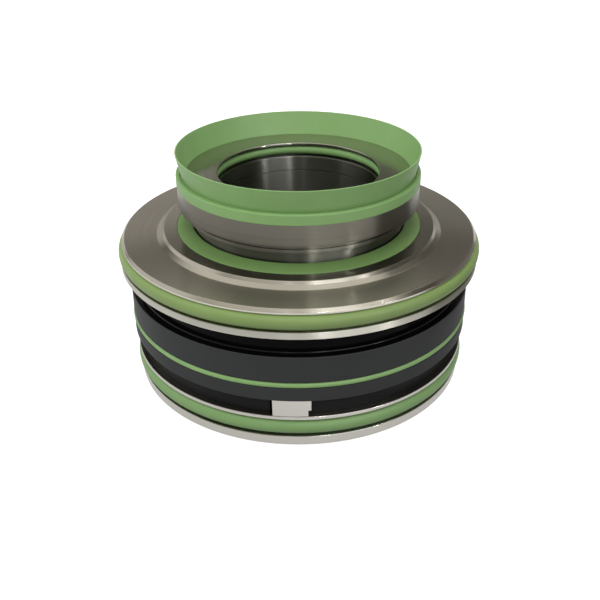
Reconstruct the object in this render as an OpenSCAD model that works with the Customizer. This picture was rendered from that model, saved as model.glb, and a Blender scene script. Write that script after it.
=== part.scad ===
// Cartridge mechanical seal with two pairs of seal faces, for a 60 mm pump shaft.
// It plugs into the wall between a pump's motor and its wet end: the end with the lip ring
// faces the impeller, and the carrier ring faces the motor.
// The origin is the middle of the bottom face, and the shaft runs along +Z.

/* [Shaft] */
// Diameter of the shaft, and so of the bore
shaft_d = 60; // [57:0.5:62]
// Height of the groove inside each end of the bore
shaft_groove_h = 4.6; // [4:0.1:5]
// Depth of that groove
shaft_groove_depth = 3.9; // [3.8:0.05:4.1]
// Section of the O-rings that seal on the shaft
shaft_oring_section = 3.6; // [3:0.1:3.6]

/* [Sleeve] */
// Wall of the sleeve
sleeve_wall = 3; // [2.5:0.1:3.5]
// Wall of the hub that centres a rotating ring
hub_wall = 3; // [2.5:0.1:3.5]
// Thickness of the foot at the motor end
foot_t = 4.1; // [3.8:0.1:5]
// Width of the foot's rim round the lower rotating ring
foot_rim_w = 3.6; // [3:0.1:4]
// Height of that rim above the foot
foot_rim_h = 2.4; // [1.5:0.1:3]
// Height of the foot above the surface that the seal stands on
foot_clearance = 1; // [0.8:0.1:2]

/* [Rotating rings] */
// Width of the sealing face
face_w = 2.6; // [2:0.1:3.2]
// Height of the nose that carries the sealing face
nose_h = 3.6; // [3:0.1:4.5]
// Step from the nose out to the ring's body
ring_step = 2.5; // [2:0.1:3]
// Part of the upper ring that shows under the collar
ring_show_h = 3.9; // [3:0.1:5]
// Depth of the pocket that holds the upper ring in the collar
collar_pocket_h = 3.6; // [3:0.1:4.2]
// Height of the lower ring's body
lower_ring_h = 3.7; // [3.5:0.1:5]
// Section of the O-ring behind a rotating ring
ring_oring_section = 2.1; // [1.8:0.1:2.2]
// Diameter of the pins that turn a rotating ring
drive_pin_d = 2.5; // [2:0.1:2.6]
// Length of those pins
drive_pin_l = 4.8; // [4:0.1:5]

/* [Drive collar] */
// Height of the collar
collar_h = 11.1; // [10.6:0.1:13]
// Wall of the collar outside the rotating ring
collar_wall = 2.6; // [2:0.1:3]
// Distance from the collar's top face to the groove in the bore
collar_groove_inset = 1; // [1:0.1:1.5]
// Length of the collar's bore, from its top face to the end of the sleeve
collar_bore_l = 11.7; // [11:0.1:13]
// Length of the collar's hub over the sleeve
hub_lap = 4.9; // [3:0.1:5.2]

/* [Lip ring] */
// Depth of the shoulder that the lip ring sits on
lip_seat_depth = 3.4; // [3:0.1:3.8]
// Height of the lip ring's band
lip_band_h = 3.9; // [3.4:0.1:4.4]
// How far the band rises above the collar
lip_band_rise = 0.6; // [0.2:0.1:1]
// Height of the lip above the collar
lip_h = 8.7; // [7:0.1:10]
// Thickness of the lip at its root
lip_root_t = 1.5; // [1.2:0.1:1.8]
// Thickness of the lip at its edge
lip_edge_t = 0.5; // [0.4:0.1:0.8]
// How far the lip leans outwards
lip_lean = 2.9; // [1.5:0.1:3.5]

/* [Standing rings] */
// Length of the nose that reaches through the housing
standing_nose_l = 5.7; // [5:0.1:6.5]
// Length of the ring's body
standing_body_l = 7; // [6.5:0.1:8]
// Step from the nose out to the ring's body
standing_step = 4.6; // [4.4:0.1:5]
// Difference in radius by which the standing face is narrower than the rotating one
face_undercut = 0.4; // [0.3:0.05:0.6]
// Radial space between the sleeve and a standing ring
sleeve_space = 3.2; // [2.5:0.1:3.6]
// Section of the O-ring round a standing ring
standing_oring_section = 2.2; // [1.8:0.1:2.2]
// Thickness of the plate between a standing ring and its springs
plate_t = 1.5; // [1:0.1:2]
// How far a standing ring can move against its springs
float_travel = 1.5; // [1:0.1:1.8]

/* [Springs] */
// Number of springs behind each standing ring
spring_count = 6; // [4:2:8]
// Outer diameter of a spring
spring_d = 5.6; // [5:0.1:6]
// Diameter of the spring wire
spring_wire = 0.9; // [0.7:0.1:1]
// Number of coils
spring_coils = 5; // [4:1:6]
// Thickness of the web between the two sets of springs
web_floor_t = 2.6; // [2:0.1:4]
// Height of the web with its spring pockets
web_h = 10.5; // [9:0.1:11.5]

/* [Flange] */
// Diameter of the lower rim
flange_d = 135.8; // [133:0.1:138]
// Diameter of the upper rim
flange_top_d = 134; // [132:0.1:136]
// Height of the lower rim
flange_rim_h = 2.6; // [2:0.1:3.5]
// Height of the groove between the rims
flange_groove_h = 6; // [5.9:0.1:6.4]
// Depth of that groove below the upper rim
flange_groove_depth = 4.4; // [4.3:0.1:4.8]
// Section of the O-ring in that groove
flange_oring_section = 5.8; // [5.4:0.1:5.8]
// Height of the upper rim, up to the flange's top face
flange_top_h = 1.8; // [1.4:0.1:3]
// Width of the chamfer round the top face
flange_chamfer = 1; // [0.6:0.1:1.2]
// Height of the boss above the top face
boss_h = 2.1; // [2:0.1:3]
// Wall of the boss round the wiper ring
boss_wall = 4.9; // [4:0.1:6]
// How much wider the boss is at its foot than at its top
boss_taper = 0.9; // [0.5:0.1:1.2]
// Radius of the shallow fillet round the foot of the boss
boss_fillet = 7.7; // [5:0.1:9]
// Height of that fillet where the wall of the boss begins
boss_fillet_h = 0.45; // [0.3:0.05:0.6]

/* [Wiper ring] */
// Width of the wiper ring
wiper_w = 6.2; // [5.8:0.1:7]
// Depth of its seat below the top of the boss
wiper_seat_h = 2.5; // [2:0.1:2.6]
// Rise of its top from the outer edge to the inner one
wiper_rise = 1.2; // [0.6:0.1:1.3]

/* [Housings] */
// Diameter of the barrel
barrel_d = 130.2; // [128:0.2:131]
// Height of the barrel
barrel_h = 10.1; // [9.5:0.1:12]
// Step from the barrel in to the neck under the flange
neck_step = 3.1; // [2.4:0.1:3.4]
// Height of the neck
neck_h = 8.6; // [8:0.1:10]
// Radius of the fillet at the foot of the neck
neck_fillet = 1; // [0.6:0.1:1.4]
// How far the band below the O-ring stands out past the barrel
band_step = 0.1; // [0.05:0.05:1.2]
// Height of the band
band_h = 5.2; // [4:0.1:6]
// Section of the O-ring between the housings
mid_oring_section = 2.2; // [2:0.1:2.4]
// How far that O-ring stands out past the barrel
mid_oring_show = 0.3; // [0.1:0.1:0.8]
// How far the skirt that the locking tabs reach into stands back from the carrier's lip
skirt_inset = 2.5; // [1.7:0.1:2.6]
// Height of the skirt
skirt_h = 6.9; // [6.5:0.1:9]
// Width of the ring that centres one part in the next
spigot_w = 3.7; // [3:0.1:4]
// Height of that ring
spigot_h = 2; // [1.5:0.1:2.2]
// Thickness of the lip in front of a standing ring's body
bore_lip_t = 1.2; // [1:0.1:1.6]

/* [Carrier ring] */
// Diameter of the bottom land
carrier_d = 128; // [125:0.2:129]
// Height of the bottom land
carrier_land_h = 4.2; // [3.8:0.1:5]
// Radius of the rounded bottom edge
carrier_edge_r = 1.4; // [0.6:0.1:1.6]
// Height of the groove
carrier_groove_h = 7.2; // [6.2:0.1:7.4]
// Depth of the groove below the bottom land
carrier_groove_depth = 5.1; // [5:0.1:5.3]
// Section of the O-ring in the groove
carrier_oring_section = 6; // [5.6:0.1:6]
// How far the lip above the groove stands out past the land
carrier_lip_step = 0.4; // [0.2:0.05:0.7]
// Height of that lip
carrier_lip_h = 1.4; // [1:0.1:2]
// Thickness of the carrier's floor
carrier_floor_t = 4; // [3:0.1:5]
// Wall between the groove and the socket of the lower housing
carrier_wall = 1.9; // [1.5:0.1:2]

/* [Locking tabs] */
// Number of tabs round the carrier ring
tab_count = 3; // [2:1:4]
// Angle of the first tab, with the front at 270
tab_angle = 267.5; // [255:0.5:285]
// Width of a tab's head along the lip
tab_w = 13.5; // [10:0.1:16]
// How far the head hooks past the tab's stem
tab_hook = 1; // [0.6:0.1:1.6]
// Height of the head
tab_head_h = 4.4; // [3:0.1:5]
// Depth of a tab inwards from the lip
tab_depth = 4.8; // [4:0.1:5]

/* [Fasteners] */
// Number of screws in each ring of screws
screw_count = 6; // [4:2:8]
// Diameter of the screws
screw_d = 3; // [2.5:0.1:3]
// Diameter of the screw heads
screw_head_d = 5.5; // [5:0.1:5.5]
// Height of the screw heads
screw_head_h = 3; // [2.5:0.1:3]
// Width across flats of the hexagon socket
screw_socket = 2.5; // [2:0.1:2.5]
// Depth of that socket
screw_socket_depth = 1.8; // [1.4:0.1:1.9]
// Length of the screws under the head
screw_l = 15; // [14:0.5:16]
// How deep the screws bite into the next part
screw_bite = 4.2; // [3.5:0.1:4.4]
// Diameter of the pins that stop a standing ring from turning
locating_pin_d = 3; // [2.5:0.1:3]
// Length of those pins
locating_pin_l = 11.4; // [10:0.1:11.6]

/* [Clearances] */
// Gap between turned parts that fit together
fit_gap = 0.1; // [0.05:0.01:0.12]
// Gap round a part that slides along the shaft
slide_gap = 0.3; // [0.25:0.01:0.35]
// Gap between the wiper ring and the nose inside it
wiper_gap = 0.5; // [0.4:0.05:0.6]
// Gap between the foot and the carrier ring
foot_gap = 2; // [1.5:0.1:3]
// Gap round a pin or a screw
pin_gap = 0.25; // [0.2:0.01:0.3]
// Small edge break on the turned parts
edge_break = 0.3; // [0.2:0.05:0.4]

/* [Hidden] */

steel = "silver";
dark_steel = "#8f8a80";
rubber = "#7a9a60";
black = "#2c2d2f";
carbide = "#4a4a48";
zinc = "#9a9a96";

$fn = 96;
wire_sides = 6;
wire_steps = 12;
arc_steps = 4;

// Radii, stacked outwards from the shaft
shaft_r = shaft_d / 2;
sleeve_r = shaft_r + sleeve_wall;
hub_r = sleeve_r + hub_wall;
ring_bore_r = hub_r + fit_gap;
ring_bevel = 1.1;
nose_in_r = ring_bore_r + ring_bevel;
nose_r = nose_in_r + face_w;
ring_r = nose_r + ring_step;
collar_r = ring_r + fit_gap + collar_wall;
lip_seat_r = collar_r - lip_seat_depth;
foot_r = ring_r + fit_gap + foot_rim_w;
shaft_groove_r = shaft_r + shaft_groove_depth;
standing_bore_r = sleeve_r + sleeve_space;
standing_nose_r = nose_r - face_undercut;
standing_r = standing_nose_r + standing_step;
housing_bore_r = standing_r + slide_gap;
housing_lip_r = (standing_nose_r + standing_r) / 2 - 0.5;
wiper_in_r = standing_nose_r + wiper_gap;
wiper_seat_r = wiper_in_r + wiper_w + fit_gap;
boss_r = wiper_seat_r + boss_wall;
spigot_r = housing_bore_r + spigot_w;
web_bore_r = sleeve_r + sleeve_space - 0.7;
plate_gap = 0.2;
plate_in_r = standing_bore_r + plate_gap;
plate_out_r = standing_r - plate_gap;
spring_circle_r = (plate_in_r + plate_out_r) / 2;
locating_circle_r = standing_r - standing_oring_section - locating_pin_d / 2 - pin_gap - 0.6;
ring_oring_groove = ring_oring_section + 0.15;
drive_circle_r = (ring_bore_r + ring_oring_groove + ring_r) / 2;

// Radii, stacked inwards from the diameters that fit the pump
carrier_r = carrier_d / 2;
carrier_groove_r = carrier_r - carrier_groove_depth;
carrier_lip_r = carrier_r + carrier_lip_step;
socket_r = carrier_groove_r - carrier_wall;
carrier_bore_r = foot_r + foot_gap;
skirt_r = carrier_lip_r - skirt_inset;
barrel_r = barrel_d / 2;
band_r = barrel_r + band_step;
neck_r = barrel_r - neck_step;
mid_groove_r = barrel_r + mid_oring_show - mid_oring_section;
flange_r = flange_d / 2;
flange_top_r = flange_top_d / 2;
flange_groove_r = flange_top_r - flange_groove_depth;
screw_circle_r = (carrier_bore_r + socket_r) / 2;

// Heights, stacked up from the bottom face
carrier_h = carrier_land_h + carrier_groove_h + carrier_lip_h;
skirt_top = carrier_h + skirt_h;
band_top = skirt_top + band_h;
barrel_bottom = band_top + mid_oring_section;
barrel_top = barrel_bottom + barrel_h;
neck_top = barrel_top + neck_h;
flange_groove_bottom = neck_top + flange_rim_h;
flange_groove_top = flange_groove_bottom + flange_groove_h;
flange_top = flange_groove_top + flange_top_h;
boss_top = flange_top + boss_h;
face_rise = 1.7;
upper_face = boss_top + face_rise;
foot_top = foot_clearance + foot_t;
lower_face = foot_top + fit_gap + lower_ring_h + nose_h;
collar_bottom = upper_face + nose_h + ring_show_h;
pocket_top = collar_bottom + collar_pocket_h;
upper_ring_h = ring_show_h + collar_pocket_h - fit_gap;
collar_top = collar_bottom + collar_h;
lip_seat_z = collar_top - lip_band_h + lip_band_rise;
sleeve_top = collar_top - collar_bore_l;
collar_groove_top = collar_top - collar_groove_inset;
foot_groove_bottom = foot_clearance + 2;
web_middle = (upper_face + lower_face) / 2;
web_top = web_middle + web_h / 2;
web_bottom = web_middle - web_h / 2;
upper_spring_floor = web_middle + web_floor_t / 2;
lower_spring_floor = web_middle - web_floor_t / 2;

// Behind each face, measured from the face
standing_l = standing_nose_l + standing_body_l;
stack_l = standing_l + plate_t;
spring_l = upper_face - stack_l - upper_spring_floor;
spring_end_gap = 0.05;
locating_top = standing_l - 1.7;
standing_groove_h = standing_oring_section + 0.5;
half_pitch = 180 / spring_count;

function arc(cx, cz, r, from, to) = [for (i = [0 : arc_steps])
    [cx + r * cos(from + (to - from) * i / arc_steps), cz + r * sin(from + (to - from) * i / arc_steps)]];

function degrees(length, r) = length * 180 / (PI * r);

module turned(outline) {
    rotate_extrude() polygon(outline);
}

module oring(r, z, section) {
    rotate_extrude() translate([r, z]) circle(d = section);
}

// A stretch of ring from angle start to angle end
module sector(start, end, r_in, r_out, z_low, z_high) {
    rotate([0, 0, start])
        rotate_extrude(angle = end - start)
            polygon([[r_in, z_low], [r_out, z_low], [r_out, z_high], [r_in, z_high]]);
}

module round_about(count, r, offset_angle = 0) {
    for (i = [0 : count - 1])
        rotate([0, 0, offset_angle + i * 360 / count])
            translate([r, 0, 0])
                children();
}

// Local height 0 is the sealing face, and the impeller side is up
module at_upper_face() {
    translate([0, 0, upper_face]) children();
}

module at_lower_face() {
    translate([0, 0, lower_face]) mirror([0, 0, 1]) children();
}

module v_ring() {
    lip_in_r = lip_seat_r + 0.05;
    out_r = collar_r + 0.2;
    band_top_z = lip_seat_z + lip_band_h;
    lip_top = collar_top + lip_h;
    notch_w = 0.7;
    color(rubber) turned(concat(
        [[lip_in_r, lip_seat_z], [out_r, lip_seat_z]],
        arc(out_r - 0.5, band_top_z - 0.5, 0.5, 0, 90),
        [[lip_in_r + lip_root_t + notch_w, band_top_z],
         [lip_in_r + lip_root_t, band_top_z - notch_w],
         [lip_in_r + lip_lean + lip_edge_t, lip_top],
         [lip_in_r + lip_lean, lip_top],
         [lip_in_r, collar_top + 0.1]]));
}

module drive_collar() {
    rise = edge_break;
    color(dark_steel) difference() {
        turned([
            [ring_r + fit_gap, collar_bottom],
            [collar_r - rise, collar_bottom],
            [collar_r, collar_bottom + rise],
            [collar_r, lip_seat_z],
            [lip_seat_r, lip_seat_z],
            [lip_seat_r, collar_top],
            [shaft_r + rise, collar_top],
            [shaft_r, collar_top - rise],
            [shaft_r, collar_groove_top],
            [shaft_groove_r, collar_groove_top],
            [shaft_groove_r, collar_groove_top - shaft_groove_h],
            [shaft_r, collar_groove_top - shaft_groove_h],
            [shaft_r, sleeve_top],
            [sleeve_r + fit_gap, sleeve_top],
            [sleeve_r + fit_gap, sleeve_top - hub_lap],
            [hub_r, sleeve_top - hub_lap],
            [hub_r, pocket_top],
            [ring_r + fit_gap, pocket_top]]);
        at_upper_face() drive_pin_holes(nose_h + upper_ring_h, drive_pin_d + 2 * fit_gap);
    }
}

module upper_rotating_ring() {
    color(carbide) at_upper_face() rotating_ring(upper_ring_h);
}

module lower_rotating_ring() {
    color(carbide) at_lower_face() rotating_ring(lower_ring_h);
}

module rotating_ring(body_h) {
    back = nose_h + body_h;
    difference() {
        turned([
            [nose_in_r, 0],
            [nose_r, 0],
            [nose_r, nose_h],
            [ring_r - edge_break, nose_h],
            [ring_r, nose_h + edge_break],
            [ring_r, back],
            [ring_bore_r + ring_oring_groove, back],
            [ring_bore_r + ring_oring_groove, back - ring_oring_groove],
            [ring_bore_r, back - ring_oring_groove],
            [ring_bore_r, ring_bevel]]);
        drive_pin_holes(back, drive_pin_d + 2 * pin_gap);
    }
}

module drive_pin_holes(back, d) {
    round_about(2, drive_circle_r)
        translate([0, 0, back - drive_pin_l / 2 - 0.1])
            cylinder(h = drive_pin_l + 0.2, d = d);
}

module drive_pins(body_h) {
    round_about(2, drive_circle_r)
        translate([0, 0, nose_h + body_h - drive_pin_l / 2])
            cylinder(h = drive_pin_l, d = drive_pin_d);
}

module upper_drive_pins() {
    color(zinc) at_upper_face() drive_pins(upper_ring_h);
}

module lower_drive_pins() {
    color(zinc) at_lower_face() drive_pins(lower_ring_h);
}

module ring_oring(body_h) {
    r = ring_bore_r + ring_oring_groove / 2;
    oring(r, nose_h + body_h - ring_oring_groove / 2, ring_oring_section);
}

module upper_rotating_oring() {
    color(rubber) at_upper_face() ring_oring(upper_ring_h);
}

module lower_rotating_oring() {
    color(rubber) at_lower_face() ring_oring(lower_ring_h);
}

module shaft_sleeve() {
    rim_top = foot_top + foot_rim_h;
    color(steel) difference() {
        turned([
            [shaft_r + edge_break, foot_clearance],
            [foot_r - edge_break, foot_clearance],
            [foot_r, foot_clearance + edge_break],
            [foot_r, rim_top],
            [ring_r + fit_gap, rim_top],
            [ring_r + fit_gap, foot_top],
            [hub_r, foot_top],
            [hub_r, lower_face - nose_h + 0.6],
            [sleeve_r, lower_face - nose_h + 0.6],
            [sleeve_r, sleeve_top],
            [shaft_r, sleeve_top],
            [shaft_r, foot_groove_bottom + shaft_groove_h],
            [shaft_groove_r, foot_groove_bottom + shaft_groove_h],
            [shaft_groove_r, foot_groove_bottom],
            [shaft_r, foot_groove_bottom],
            [shaft_r, foot_clearance + edge_break]]);
        at_lower_face() drive_pin_holes(nose_h + lower_ring_h, drive_pin_d + 2 * fit_gap);
    }
}

module shaft_oring(groove_bottom) {
    r = shaft_groove_r - shaft_oring_section / 2 - 0.05;
    color(rubber) oring(r, groove_bottom + shaft_groove_h / 2, shaft_oring_section);
}

module collar_oring() {
    shaft_oring(collar_groove_top - shaft_groove_h);
}

module sleeve_oring() {
    shaft_oring(foot_groove_bottom);
}

module flange() {
    seat_z = boss_top - wiper_seat_h;
    lip_z = upper_face - standing_nose_l + slide_gap;
    foot_angle = acos(1 - boss_fillet_h / boss_fillet);
    foot_end_r = boss_r + boss_taper + boss_fillet * sin(foot_angle);
    color(steel) difference() {
        turned(concat(
            [[housing_bore_r, neck_top - spigot_h],
             [spigot_r, neck_top - spigot_h],
             [spigot_r, neck_top],
             [flange_r - edge_break, neck_top],
             [flange_r, neck_top + edge_break],
             [flange_r, flange_groove_bottom],
             [flange_groove_r, flange_groove_bottom],
             [flange_groove_r, flange_groove_top],
             [flange_top_r, flange_groove_top],
             [flange_top_r, flange_top - flange_chamfer],
             [flange_top_r - flange_chamfer, flange_top]],
            arc(foot_end_r, flange_top + boss_fillet, boss_fillet, 270, 270 - foot_angle),
            [[boss_r, boss_top - edge_break],
             [boss_r - edge_break, boss_top],
             [wiper_seat_r, boss_top],
             [wiper_seat_r, seat_z],
             [housing_lip_r, seat_z],
             [housing_lip_r, lip_z],
             [housing_bore_r, lip_z]]));
        translate([0, 0, neck_top - 1])
            round_about(screw_count, screw_circle_r)
                cylinder(h = screw_bite + 1.5, d = screw_d + fit_gap);
    }
}

module flange_oring() {
    r = flange_groove_r + flange_oring_section / 2 + 0.1;
    color(rubber) oring(r, flange_groove_bottom + flange_groove_h / 2, flange_oring_section);
}

module wiper_ring() {
    seat_z = boss_top - wiper_seat_h;
    out_r = wiper_seat_r - fit_gap;
    edge_r = 0.5;
    crown_z = boss_top + 0.15 + wiper_rise;
    crown_angle = 90 - atan(wiper_rise / wiper_w);
    color(rubber) turned(concat(
        [[wiper_in_r, seat_z],
         [out_r, seat_z],
         [out_r, boss_top + 0.15]],
        arc(wiper_in_r + edge_r, crown_z - edge_r, edge_r, crown_angle, 180)));
}

module upper_housing() {
    color(black) difference() {
        turned(concat([
            [spigot_r + fit_gap, barrel_bottom],
            [barrel_r - edge_break, barrel_bottom],
            [barrel_r, barrel_bottom + edge_break],
            [barrel_r, barrel_top - edge_break],
            [barrel_r - edge_break, barrel_top]],
            arc(neck_r + neck_fillet, barrel_top + neck_fillet, neck_fillet, 270, 180),
            [[neck_r, neck_top],
            [spigot_r + fit_gap, neck_top],
            [spigot_r + fit_gap, neck_top - spigot_h - fit_gap],
            [housing_bore_r, neck_top - spigot_h - fit_gap],
            [housing_bore_r, web_top],
            [web_bore_r, web_top],
            [web_bore_r, web_bottom],
            [housing_bore_r, web_bottom],
            [housing_bore_r, barrel_bottom + spigot_h + fit_gap],
            [spigot_r + fit_gap, barrel_bottom + spigot_h + fit_gap]]));
        // Pockets for the springs, above and below the floor of the web
        translate([0, 0, upper_spring_floor])
            round_about(spring_count, spring_circle_r)
                cylinder(h = web_h, d = spring_d + 2 * pin_gap);
        translate([0, 0, lower_spring_floor - web_h])
            round_about(spring_count, spring_circle_r)
                cylinder(h = web_h, d = spring_d + 2 * pin_gap);
        at_upper_face() locating_pin_holes();
        at_lower_face() locating_pin_holes();
        // Counterbored holes of the flange's screws
        translate([0, 0, neck_top + screw_bite - screw_l])
            round_about(screw_count, screw_circle_r)
                screw_hole(neck_top, barrel_bottom);
        // Tapped holes of the lower housing's screws
        translate([0, 0, barrel_bottom - 1])
            round_about(screw_count, screw_circle_r, half_pitch)
                cylinder(h = screw_bite + 1.5, d = screw_d + fit_gap);
    }
}

// Local height 0 is the seat of the head
module screw_hole(top, bottom) {
    translate([0, 0, -1]) cylinder(h = top - bottom, d = screw_d + 2 * pin_gap);
    translate([0, 0, bottom - top]) cylinder(h = top - bottom, d = screw_head_d + 2 * pin_gap);
}

module cap_screw() {
    difference() {
        union() {
            translate([0, 0, -0.5]) cylinder(h = screw_l + 0.5, d = screw_d);
            translate([0, 0, -screw_head_h]) cylinder(h = screw_head_h, d = screw_head_d);
        }
        translate([0, 0, -screw_head_h - 1])
            cylinder(h = 1 + screw_socket_depth, d = screw_socket / cos(30), $fn = 6);
    }
}

module flange_screws() {
    color(zinc) translate([0, 0, neck_top + screw_bite - screw_l])
        round_about(screw_count, screw_circle_r) cap_screw();
}

module housing_screws() {
    color(zinc) translate([0, 0, barrel_bottom + screw_bite - screw_l])
        round_about(screw_count, screw_circle_r, half_pitch) cap_screw();
}

module mid_oring() {
    r = mid_groove_r + mid_oring_section / 2 + 0.05;
    color(rubber) oring(r, (band_top + barrel_bottom) / 2, mid_oring_section - 0.1);
}

module lower_housing() {
    lip_z = lower_face + standing_nose_l - slide_gap;
    spigot_bottom = carrier_floor_t + fit_gap;
    color(black) difference() {
        turned([
            [carrier_bore_r, spigot_bottom],
            [socket_r - fit_gap, spigot_bottom],
            [socket_r - fit_gap, carrier_h],
            [skirt_r, carrier_h],
            [skirt_r, skirt_top],
            [band_r - edge_break, skirt_top],
            [band_r, skirt_top + edge_break],
            [band_r, band_top - edge_break],
            [band_r - edge_break, band_top],
            [mid_groove_r, band_top],
            [mid_groove_r, barrel_bottom],
            [spigot_r, barrel_bottom],
            [spigot_r, barrel_bottom + spigot_h],
            [housing_bore_r, barrel_bottom + spigot_h],
            [housing_bore_r, lip_z],
            [housing_lip_r, lip_z],
            [housing_lip_r, lip_z - bore_lip_t],
            [carrier_bore_r, lip_z - bore_lip_t]]);
        for (i = [0 : tab_count - 1])
            rotate([0, 0, tab_angle + i * 360 / tab_count]) tab_slot();
        translate([0, 0, barrel_bottom + screw_bite - screw_l])
            round_about(screw_count, screw_circle_r, half_pitch)
                screw_hole(barrel_bottom, carrier_floor_t);
    }
}

// The carrier turns by the length of the hook to lock, so the slot's mouth takes the whole head
module tab_slot() {
    r_in = carrier_lip_r - tab_depth - slide_gap;
    r_out = skirt_r + 1;
    gap = degrees(slide_gap, skirt_r);
    half = degrees(tab_w / 2, carrier_lip_r);
    hook = degrees(tab_hook, carrier_lip_r);
    head_z = skirt_top - tab_head_h;
    sector(-half - hook - gap, half - hook + gap, r_in, r_out, carrier_h - 1, head_z + 1);
    sector(-half - hook - gap, half + gap, r_in, r_out, head_z - slide_gap, skirt_top);
}

module carrier_ring() {
    color(steel) union() {
        turned(concat(
            [[carrier_bore_r, 0]],
            arc(carrier_r - carrier_edge_r, carrier_edge_r, carrier_edge_r, 270, 360),
            [[carrier_r, carrier_land_h],
             [carrier_groove_r, carrier_land_h],
             [carrier_groove_r, carrier_land_h + carrier_groove_h],
             [carrier_lip_r, carrier_land_h + carrier_groove_h],
             [carrier_lip_r, carrier_h],
             [socket_r, carrier_h],
             [socket_r, carrier_floor_t],
             [carrier_bore_r, carrier_floor_t]]));
        for (i = [0 : tab_count - 1])
            rotate([0, 0, tab_angle + i * 360 / tab_count]) locking_tab();
    }
}

module locking_tab() {
    r_out = carrier_lip_r - 0.1;
    r_in = carrier_lip_r - tab_depth;
    half = degrees(tab_w / 2, carrier_lip_r);
    hook = degrees(tab_hook, carrier_lip_r);
    tab_top = skirt_top - fit_gap;
    head_z = skirt_top - tab_head_h;
    difference() {
        sector(-half, half, r_in, r_out, carrier_h - carrier_lip_h / 2, tab_top);
        sector(half - hook, half + 1, r_in - 1, r_out + 1, carrier_h - carrier_lip_h, head_z);
    }
}

module carrier_oring() {
    r = carrier_groove_r + carrier_oring_section / 2;
    color(rubber) oring(r, carrier_land_h + carrier_groove_h / 2, carrier_oring_section);
}

module locating_pin_holes() {
    round_about(2, locating_circle_r, half_pitch)
        translate([0, 0, -locating_top - locating_pin_l - 0.1])
            cylinder(h = locating_pin_l, d = locating_pin_d + 2 * fit_gap);
}

module locating_pins() {
    round_about(2, locating_circle_r, half_pitch)
        translate([0, 0, -locating_top - locating_pin_l])
            cylinder(h = locating_pin_l, d = locating_pin_d);
}

module upper_locating_pins() {
    color(zinc) at_upper_face() locating_pins();
}

module lower_locating_pins() {
    color(zinc) at_lower_face() locating_pins();
}

module standing_ring() {
    groove_top = -standing_nose_l - 1.4;
    groove_r = standing_r - standing_oring_section + 0.1;
    slot_top = -locating_top + float_travel + 0.5;
    difference() {
        turned([
            [standing_bore_r + 0.8, 0],
            [standing_nose_r, 0],
            [standing_nose_r, -standing_nose_l],
            [standing_r - edge_break, -standing_nose_l],
            [standing_r, -standing_nose_l - edge_break],
            [standing_r, groove_top],
            [groove_r, groove_top],
            [groove_r, groove_top - standing_groove_h],
            [standing_r, groove_top - standing_groove_h],
            [standing_r, -standing_l],
            [standing_bore_r, -standing_l],
            [standing_bore_r, -0.8]]);
        round_about(2, locating_circle_r, half_pitch)
            translate([0, 0, -standing_l - 1])
                cylinder(h = standing_l + 1 + slot_top, d = locating_pin_d + 2 * slide_gap);
    }
}

module upper_stationary_ring() {
    color(carbide) at_upper_face() standing_ring();
}

module lower_stationary_ring() {
    color(carbide) at_lower_face() standing_ring();
}

module standing_oring() {
    r = standing_r - standing_oring_section / 2 + 0.12;
    oring(r, -standing_nose_l - 1.4 - standing_groove_h / 2, standing_oring_section);
}

module upper_stationary_oring() {
    color(rubber) at_upper_face() standing_oring();
}

module lower_stationary_oring() {
    color(rubber) at_lower_face() standing_oring();
}

module spring_plate() {
    difference() {
        turned([
            [plate_in_r, -standing_l],
            [plate_out_r, -standing_l],
            [plate_out_r, -stack_l],
            [plate_in_r, -stack_l]]);
        round_about(2, locating_circle_r, half_pitch)
            translate([0, 0, -stack_l - 1])
                cylinder(h = plate_t + 2, d = locating_pin_d + 2 * slide_gap);
    }
}

module upper_spring_plate() {
    color(zinc) at_upper_face() spring_plate();
}

module lower_spring_plate() {
    color(zinc) at_lower_face() spring_plate();
}

// A round wire wound as a coil whose end turns are closed, standing on local height 0
module coil_spring(length) {
    r = (spring_d - spring_wire) / 2;
    steps = spring_coils * wire_steps;
    closed_pitch = spring_wire + 0.1;
    open_pitch = (length - spring_wire - 2 * closed_pitch) / (spring_coils - 2);
    points = [for (i = [0 : steps]) for (j = [0 : wire_sides - 1])
        let (turns = i / wire_steps, turn = turns * 360, around = j * 360 / wire_sides,
             open_turns = max(0, min(turns, spring_coils - 1) - 1),
             rise = closed_pitch * (turns - open_turns) + open_pitch * open_turns,
             pitch = turns > 1 && turns < spring_coils - 1 ? open_pitch : closed_pitch,
             slope = atan(pitch / (2 * PI * r)),
             out = spring_wire / 2 * cos(around), up = spring_wire / 2 * sin(around))
        [(r + out) * cos(turn) + up * sin(slope) * sin(turn),
         (r + out) * sin(turn) - up * sin(slope) * cos(turn),
         spring_wire / 2 + rise + up * cos(slope)]];
    sides = [for (i = [0 : steps - 1]) for (j = [0 : wire_sides - 1])
        let (a = i * wire_sides + j, b = i * wire_sides + (j + 1) % wire_sides)
        [a, a + wire_sides, b + wire_sides, b]];
    ends = [[for (j = [0 : wire_sides - 1]) j],
        [for (j = [0 : wire_sides - 1]) (steps + 1) * wire_sides - 1 - j]];
    polyhedron(points, concat(sides, ends));
}

module springs() {
    round_about(spring_count, spring_circle_r)
        translate([0, 0, -stack_l - spring_l + spring_end_gap])
            coil_spring(spring_l - 2 * spring_end_gap);
}

module upper_springs() {
    color(zinc) at_upper_face() springs();
}

module lower_springs() {
    color(zinc) at_lower_face() springs();
}

v_ring();
drive_collar();
collar_oring();
upper_rotating_ring();
upper_rotating_oring();
upper_drive_pins();
shaft_sleeve();
sleeve_oring();
lower_rotating_ring();
lower_rotating_oring();
lower_drive_pins();
flange();
flange_oring();
wiper_ring();
upper_housing();
flange_screws();
mid_oring();
lower_housing();
housing_screws();
carrier_ring();
carrier_oring();
upper_locating_pins();
lower_locating_pins();
upper_stationary_ring();
upper_stationary_oring();
upper_spring_plate();
upper_springs();
lower_stationary_ring();
lower_stationary_oring();
lower_spring_plate();
lower_springs();
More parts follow.
